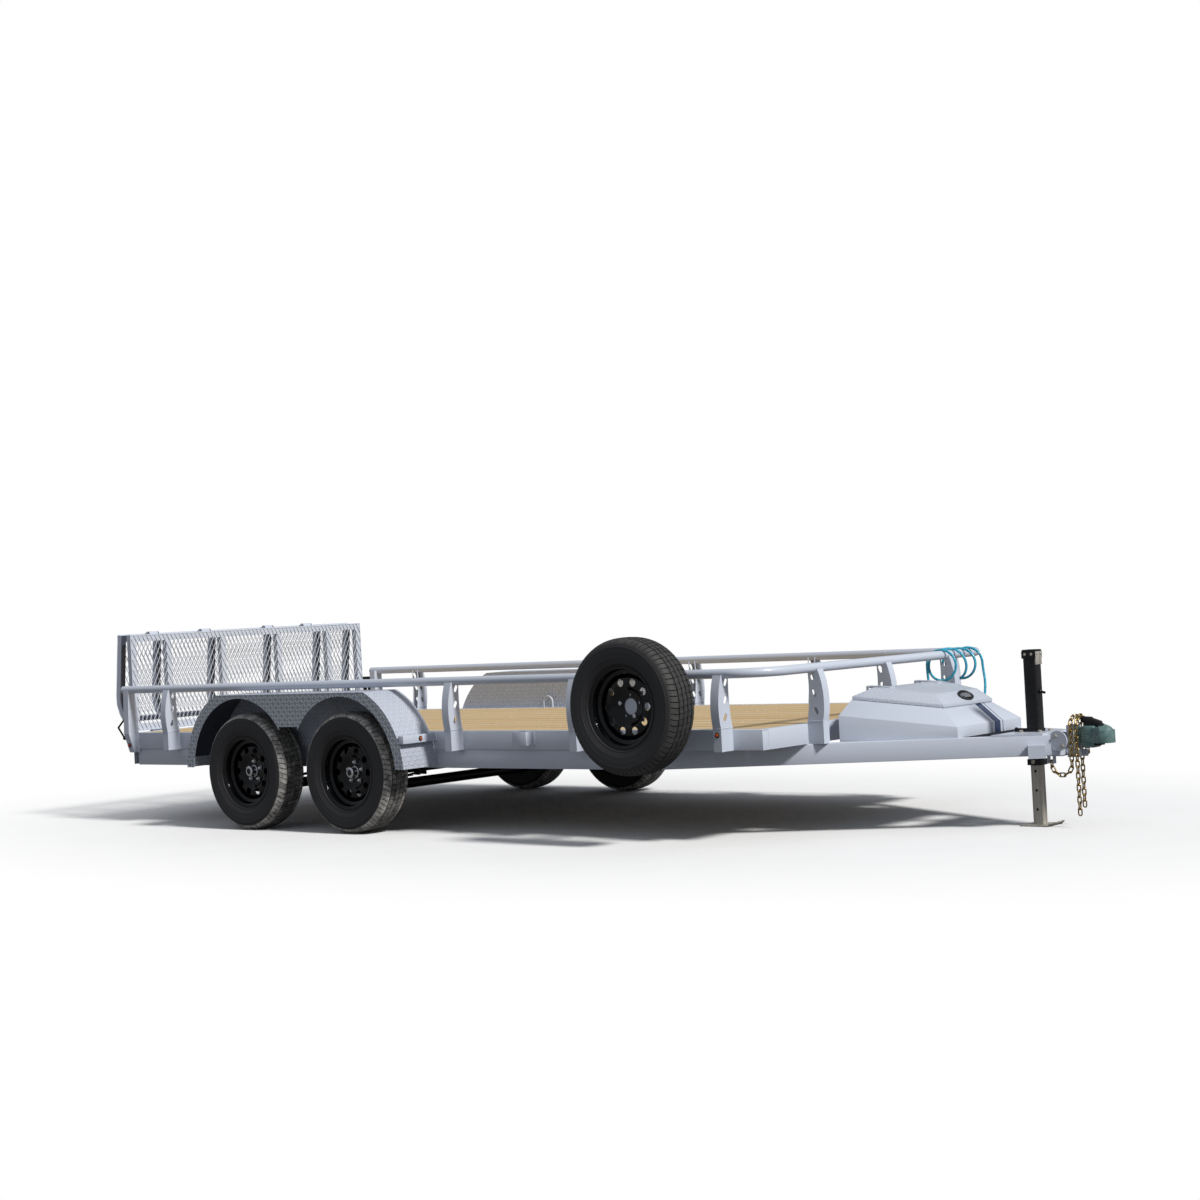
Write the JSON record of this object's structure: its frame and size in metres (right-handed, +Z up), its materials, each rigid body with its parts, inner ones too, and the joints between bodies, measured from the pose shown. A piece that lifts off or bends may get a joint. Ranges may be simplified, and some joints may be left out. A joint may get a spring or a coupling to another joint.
{
  "type": "utility trailer",
  "caption": "Tandem-axle utility trailer with a plank deck, railed sides on pierced posts, bi-fold ramp gate, tongue toolbox, drop-leg jack and side spare wheel.",
  "frame": {"origin": "centre of the bounding box on the ground", "axes": "+X towards the coupler, +Y to the left side, +Z up"},
  "size_m": [6.5395, 2.731, 1.206],
  "materials": {
    "grey_paint": "gloss",
    "tyre_rubber": "matte",
    "black_wheel": "gloss",
    "pine": "raw",
    "black_steel": "satin",
    "zinc": "plated",
    "green_cast": "painted",
    "teal_cable": "gloss",
    "amber_lens": "clear",
    "red_lens": "clear"
  },
  "bodies": {
    "frame": {"amber_markers": "amber_lens", "axles": "black_steel", "breakaway_switch": "black_steel", "cable_bridge": "teal_cable", "cable_coil_far": "teal_cable", "cable_coil_near": "teal_cable", "cable_gland": "teal_cable", "cable_lead": "teal_cable", "cable_plug": "teal_cable", "cable_tail": "teal_cable", "coupler": "green_cast", "coupler_channel": "grey_paint", "coupler_latch": "black_steel", "crossmembers": "grey_paint", "deck_end_rails": "grey_paint", "deck_planks": "pine", "deck_side_rails": "grey_paint", "equalizers": "black_steel", "fender_lamp_bars": "grey_paint", "fender_skirts": "grey_paint", "fenders": "grey_paint", "front_posts": "grey_paint", "gate_hinge_ears": "grey_paint", "gate_latches": "black_steel", "jack_plate": "grey_paint", "jack_tube": "black_steel", "leaf_springs": "black_steel", "main_beams": "grey_paint", "red_markers": "red_lens", "safety_chains": "zinc", "side_posts": "grey_paint", "spare_carrier": "grey_paint", "spare_rim": "black_wheel", "spare_tyre": "tyre_rubber", "spring_hangers": "black_steel", "stake_pocket": "grey_paint", "tie_down_rings": "grey_paint", "tongue_fittings": "grey_paint", "toolbox_body": "grey_paint", "toolbox_hinges": "grey_paint", "top_rail_front": "grey_paint", "top_rail_sides": "grey_paint"},
    "gate_lower": {"gate_lower_frame": "grey_paint", "gate_lower_mesh": "grey_paint"},
    "gate_upper": {"gate_upper_frame": "grey_paint", "gate_upper_mesh": "grey_paint"},
    "jack_leg": {"jack_leg": "zinc"},
    "toolbox_lid": {"lid_latch": "black_steel", "toolbox_lid": "grey_paint"},
    "wheel_front_left": {"tyre_front_left": "tyre_rubber", "wheel_front_left": "black_wheel"},
    "wheel_front_right": {"tyre_front_right": "tyre_rubber", "wheel_front_right": "black_wheel"},
    "wheel_rear_left": {"tyre_rear_left": "tyre_rubber", "wheel_rear_left": "black_wheel"},
    "wheel_rear_right": {"tyre_rear_right": "tyre_rubber", "wheel_rear_right": "black_wheel"}
  },
  "joints": [
    {"name": "wheel_front_right_spin", "type": "hinge", "parent": "frame", "child": "wheel_front_right", "pos_m": [-0.8102, -1.1325, 0.344], "axis": [0, 1, 0], "continuous": true},
    {"name": "wheel_front_left_spin", "type": "hinge", "parent": "frame", "child": "wheel_front_left", "pos_m": [-0.8102, 1.2515, 0.344], "axis": [0, 1, 0], "continuous": true},
    {"name": "wheel_rear_right_spin", "type": "hinge", "parent": "frame", "child": "wheel_rear_right", "pos_m": [-1.6862, -1.1325, 0.344], "axis": [0, 1, 0], "continuous": true},
    {"name": "wheel_rear_left_spin", "type": "hinge", "parent": "frame", "child": "wheel_rear_left", "pos_m": [-1.6862, 1.2515, 0.344], "axis": [0, 1, 0], "continuous": true},
    {"name": "gate_swing", "type": "hinge", "parent": "frame", "child": "gate_lower", "pos_m": [-3.1062, 0.0595, 0.557], "axis": [0, -1, 0], "range_deg": [0, 112]},
    {"name": "gate_fold", "type": "hinge", "parent": "gate_lower", "child": "gate_upper", "pos_m": [-3.1537, 0.0595, 1.192], "axis": [0, 1, 0], "range_deg": [0, 173]},
    {"name": "toolbox_lid_swing", "type": "hinge", "parent": "frame", "child": "toolbox_lid", "pos_m": [2.0378, 0.0595, 0.716], "axis": [0, -1, 0], "range_deg": [0, 80]},
    {"name": "jack_extend", "type": "slide", "parent": "frame", "child": "jack_leg", "axis": [0, 0, 1], "range_m": [0, 0.28]}
  ]
}
